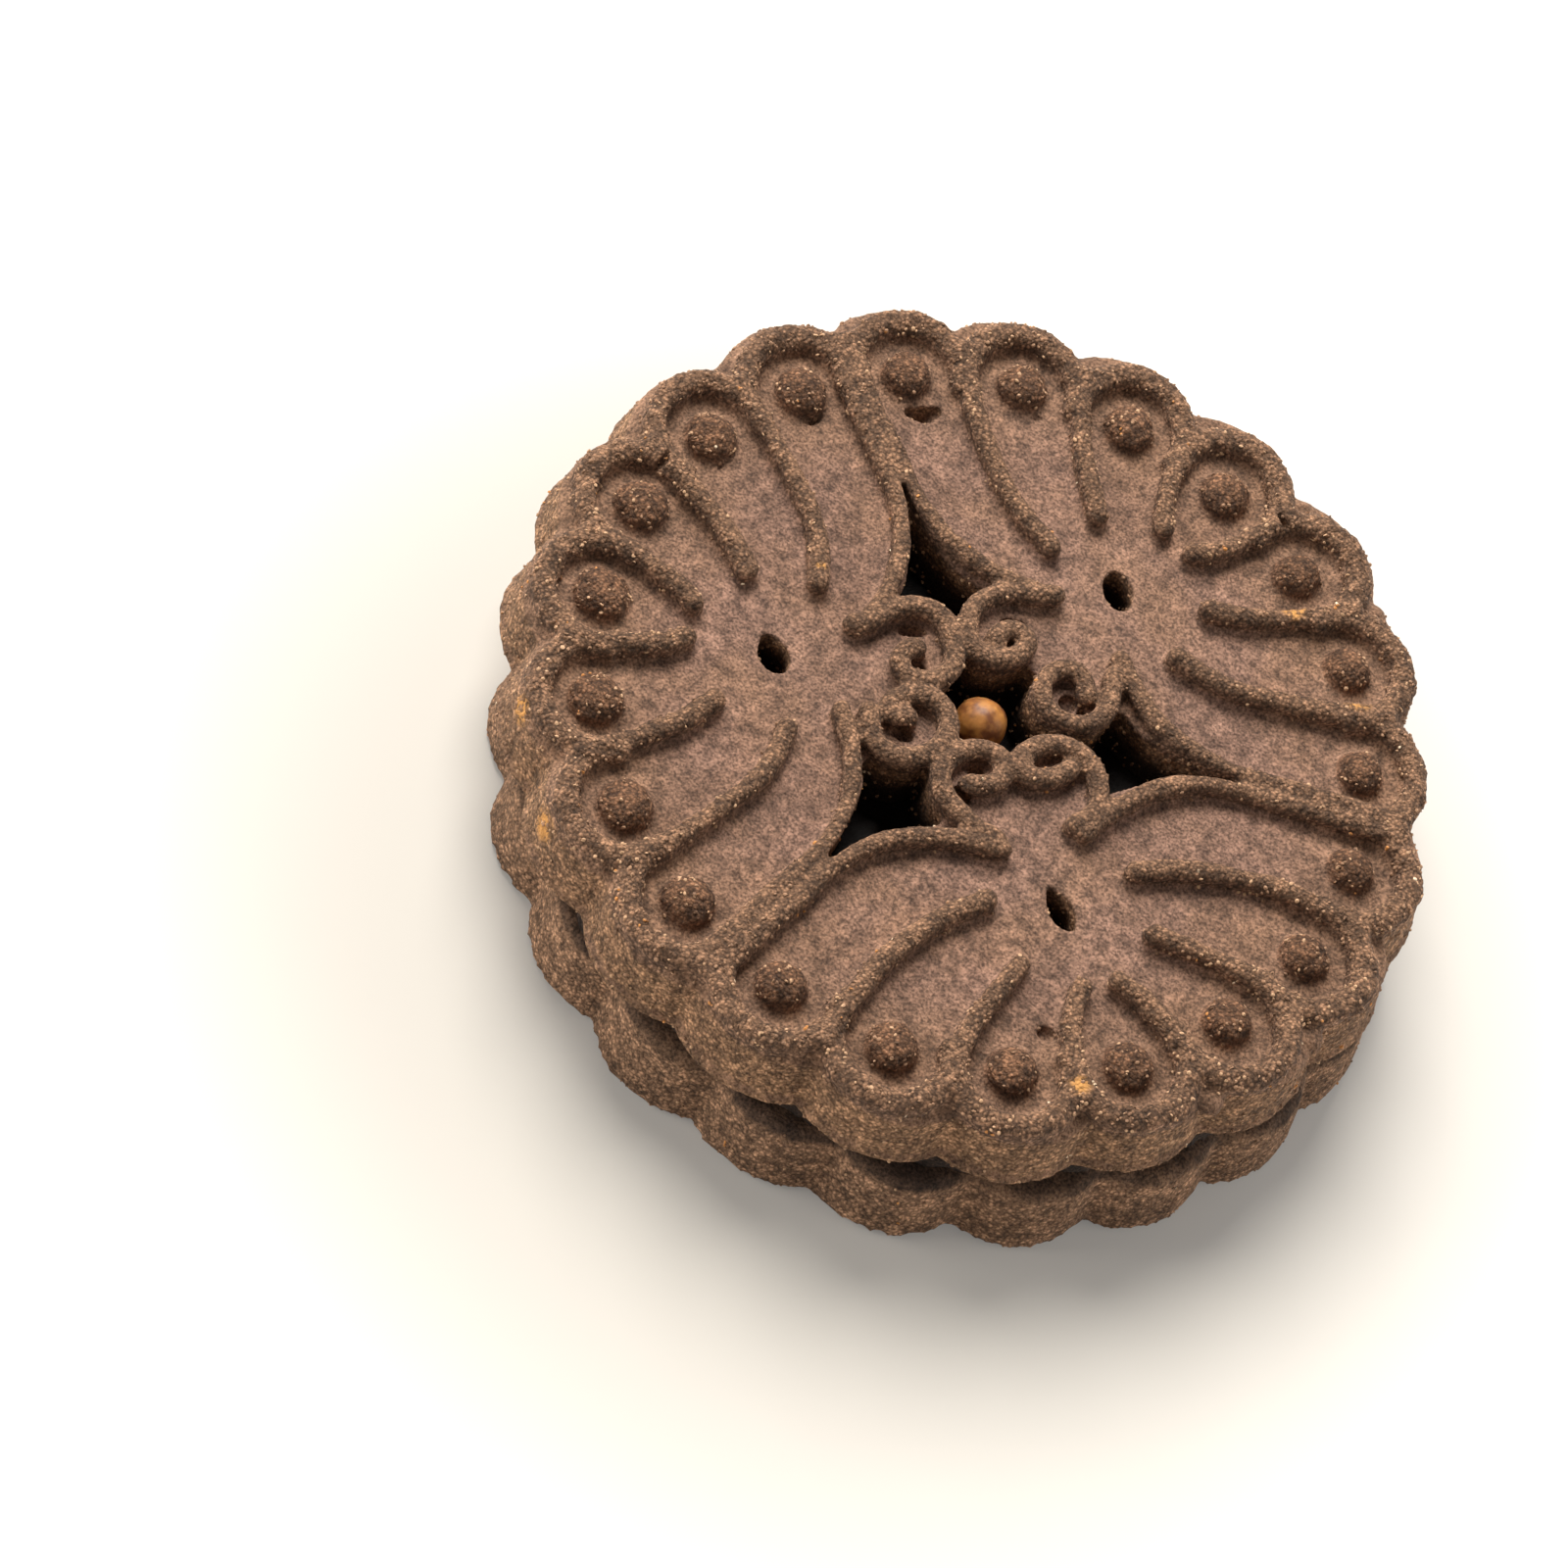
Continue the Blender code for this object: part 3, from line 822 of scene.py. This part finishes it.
# the cut leaves its points in an order that changes from run to run, and the crumbs would move with it
worked(low, "REMESH", mode="VOXEL", voxel_size=0.3)
worked(low, "SMOOTH", factor=0.5, iterations=2)
markCrumbly(low, lowThick)
roughen(low, (("Warp", "CLOUDS", 15, 0.3, {"direction": "RGB_TO_XYZ"}),
              ("Swell", "CLOUDS", 6, 0.25, {}),
              ("Lumps", "CLOUDS", 1.8, 0.25, {}),
              ("Crumb", "CLOUDS", 0.7, 0.16, {})))
lowerGrains = {"amount": 2.2, "from": 0.5, "small": 0.05, "big": 0.14, "seed": 9}
lowerCrumbs = crumbsOn(low, "lowerCrumbs", lowerGrains)
finishCrumbs(lowerCrumbs, "bottom_biscuit")
toMetres(low)
# it has no ridges and no deep holes, so those heights lie far off
# its flat faces are near black, partly for cream smeared on them and partly as painted shade under the upper
# biscuit; its walls are painted light, lighter than the top
lowLook = dict(doughLook, ground=(0.045, 0.026, 0.017), outer=(0.045, 0.026, 0.017),
               wall=(0.246, 0.138, 0.08), tan=(0.236, 0.132, 0.074),
               ridgeFrom=90, ridgeTo=91, deepFrom=-91, deepTo=-90, stains=())
dress(low, doughMaterial("lowerCocoaDough", lowLook))
smooth(low)
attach(low, "root")
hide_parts("bottom_biscuit")
print("lower biscuit", len(low.data.polygons), "faces")

# cream between them

creamShape = {"radius": 28.1, "low": lowThick - 0.05, "high": topBase + 0.05}
bpy.ops.mesh.primitive_cylinder_add(vertices=120, radius=creamShape["radius"],
                                    depth=creamShape["high"] - creamShape["low"],
                                    location=(0.35, -0.2, (creamShape["low"] + creamShape["high"]) / 2))
cream = settle(bpy.context.object)
mound = ball(mould["centre"], 2.3, topBase - 0.2, pearlLow[2] / mm - topBase + 0.35)
cream = joined("cocoaCream", [cream, mound])
worked(cream, "REMESH", mode="VOXEL", voxel_size=0.35)
roughen(cream, (("Edge", "CLOUDS", 4, 1.6, {"direction": "RGB_TO_XYZ"}),
                ("Lumps", "CLOUDS", 1.4, 0.5, {}),
                ("Crumb", "CLOUDS", 0.7, 0.3, {})))
toMetres(cream)
# the cream is dark cocoa; its middle, under the openings, is painted almost black as painted shade, and its sides
# are a little lighter
creamLook = dict(doughLook, ground=(0.02, 0.012, 0.009), outer=(0.02, 0.012, 0.009),
                 ridge=(0.02, 0.012, 0.009), wall=(0.03, 0.017, 0.011), tan=(0.03, 0.018, 0.012),
                 deep=(0.006, 0.004, 0.003), glint=(0.12, 0.08, 0.05), roughness=0.8,
                 ridgeFrom=90, ridgeTo=91, deepFrom=90, deepTo=91, stains=())
dress(cream, doughMaterial("darkCreamWithPaintedShade", creamLook))
smooth(cream)
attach(cream, "root")
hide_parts("cream_filling")
print("cream", len(cream.data.polygons), "faces")

# pearl in the middle hole

pearlPlan = {"bigger": 1.18, "dark": (0.13, 0.042, 0.012), "light": (0.36, 0.15, 0.035), "blotches": 1000,
             "roughness": 0.5, "gloss": 0.3}
pearlRadius = (pearlHigh[2] - pearlLow[2]) / 2 / mm * pearlPlan["bigger"]
bpy.ops.mesh.primitive_ico_sphere_add(subdivisions=5, radius=pearlRadius,
                                      location=(*mould["centre"], (pearlHigh[2] + pearlLow[2]) / 2 / mm))
pearl = settle(bpy.context.object)
pearl.name = "caramelPearl"
roughen(pearl, (("Dent", "CLOUDS", 1.6, 0.16, {}), ("Skin", "CLOUDS", 0.35, 0.06, {})))
toMetres(pearl)
mat, nodes, links = tree("caramelSugar")
shader = nodes["Principled BSDF"]
where = add(nodes, "TexCoord")
blotch = add(nodes, "TexNoise", Scale=pearlPlan["blotches"], Detail=4)
links.new(where.outputs["Object"], blotch.inputs["Vector"])
ramp = add(nodes, "ValToRGB")
ramp.color_ramp.elements[0].position = 0.38
ramp.color_ramp.elements[0].color = (*pearlPlan["dark"], 1)
ramp.color_ramp.elements[1].position = 0.6
ramp.color_ramp.elements[1].color = (*pearlPlan["light"], 1)
links.new(blotch.outputs["Fac"], ramp.inputs["Fac"])
links.new(ramp.outputs["Color"], shader.inputs["Base Color"])
shader.inputs["Roughness"].default_value = pearlPlan["roughness"]
shader.inputs["Specular IOR Level"].default_value = pearlPlan["gloss"]
shader.inputs["Subsurface Weight"].default_value = 0.2
shader.inputs["Subsurface Radius"].default_value = (0.0006, 0.0003, 0.0001)
dress(pearl, mat)
smooth(pearl)
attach(pearl, "root")
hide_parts("sugar_pearl")
print("pearl")

# table, light and camera

# the paper glows more away from the biscuit, so its walls get light from below: distances in metres
tablePlan = {"size": 3, "below": 0.0002, "colour": (0.4, 0.37, 0.325), "glowColour": (1, 0.985, 0.965),
             "glowCentre": (0, -0.01, 0),
             "glow": {"From Min": 0.026, "From Max": 0.11, "To Min": 0.13, "To Max": 2}}
bpy.ops.mesh.primitive_plane_add(size=tablePlan["size"], location=(0, 0, -tablePlan["below"]))
table = bpy.context.object
table.name = "table"
mat, nodes, links = tree("whiteTable")
shader = nodes["Principled BSDF"]
shader.inputs["Base Color"].default_value = (*tablePlan["colour"], 1)
shader.inputs["Emission Color"].default_value = (*tablePlan["glowColour"], 1)
where = add(nodes, "TexCoord")
away = add(nodes, "VectorMath", operation="DISTANCE")
away.inputs[1].default_value = tablePlan["glowCentre"]
glow = add(nodes, "MapRange", interpolation_type="SMOOTHSTEP")
for key, value in tablePlan["glow"].items():
    glow.inputs[key].default_value = value
links.new(where.outputs["Object"], away.inputs[0])
links.new(away.outputs["Value"], glow.inputs["Value"])
links.new(glow.outputs["Result"], shader.inputs["Emission Strength"])
shader.inputs["Roughness"].default_value = 0.7
shader.inputs["Specular IOR Level"].default_value = 0.2
dress(table, mat)

lightPlan = {"horizon": 0.8, "zenith": 0.03, "skyTint": (1.0, 0.975, 0.945),
             # direction, height, distance, size and watts of each
             "lamps": ((139, 52, 0.7, 0.46, 10.7), (212, 22, 0.8, 0.5, 4.0), (35, 20, 0.8, 0.5, 1.9))}
for around, height, distance, size, power in lightPlan["lamps"]:
    around, rise = math.radians(around), math.radians(height)
    spot = Vector((math.cos(around) * math.cos(rise), math.sin(around) * math.cos(rise), math.sin(rise)))
    bpy.ops.object.light_add(type="AREA", location=spot * distance)
    lamp = bpy.context.object
    lamp.data.shape = "DISK"
    lamp.data.size = size
    lamp.data.energy = power
    lamp.data.color = (1, 0.985, 0.96)
    lamp.rotation_euler = spot.to_track_quat("Z", "Y").to_euler()
world = bpy.data.worlds.new("softRoom")
bpy.context.scene.world = world
world.use_nodes = True
world.node_tree.nodes["Background"].inputs["Color"].default_value = (*lightPlan["skyTint"], 1)
# a light tent: bright walls all round, little from straight above
skyNodes, skyLinks = world.node_tree.nodes, world.node_tree.links
where = add(skyNodes, "TexCoord")
height = add(skyNodes, "SeparateXYZ")
fade = add(skyNodes, "MapRange")
fade.inputs["To Min"].default_value = lightPlan["horizon"]
fade.inputs["To Max"].default_value = lightPlan["zenith"]
skyLinks.new(where.outputs["Generated"], height.inputs["Vector"])
skyLinks.new(height.outputs["Z"], fade.inputs["Value"])
skyLinks.new(fade.outputs["Result"], skyNodes["Background"].inputs["Strength"])

cameraPlan = {"azimuth": 16.8, "elevation": 56.86, "roll": 27.8, "distance": 308.5, "aside": 12.79,
              "above": 5.0, "lens": 115.67, "pivotHeight": 12.25}
turned = (Matrix.Rotation(math.radians(cameraPlan["azimuth"]), 3, "Z")
          @ Matrix.Rotation(math.radians(90 - cameraPlan["elevation"]), 3, "X")
          @ Matrix.Rotation(math.radians(cameraPlan["roll"]), 3, "Z"))
pivot = Vector((*mould["centre"], cameraPlan["pivotHeight"]))
eye = pivot + turned @ Vector((-cameraPlan["aside"], -cameraPlan["above"], cameraPlan["distance"]))
bpy.ops.object.camera_add(location=eye * mm, rotation=turned.to_euler())
camera = bpy.context.object
camera.data.lens = cameraPlan["lens"]
camera.data.sensor_width = 36
camera.data.clip_start = 0.01
bpy.context.scene.camera = camera
bpy.context.scene.view_settings.view_transform = "Standard"
print("table, lamps and camera")
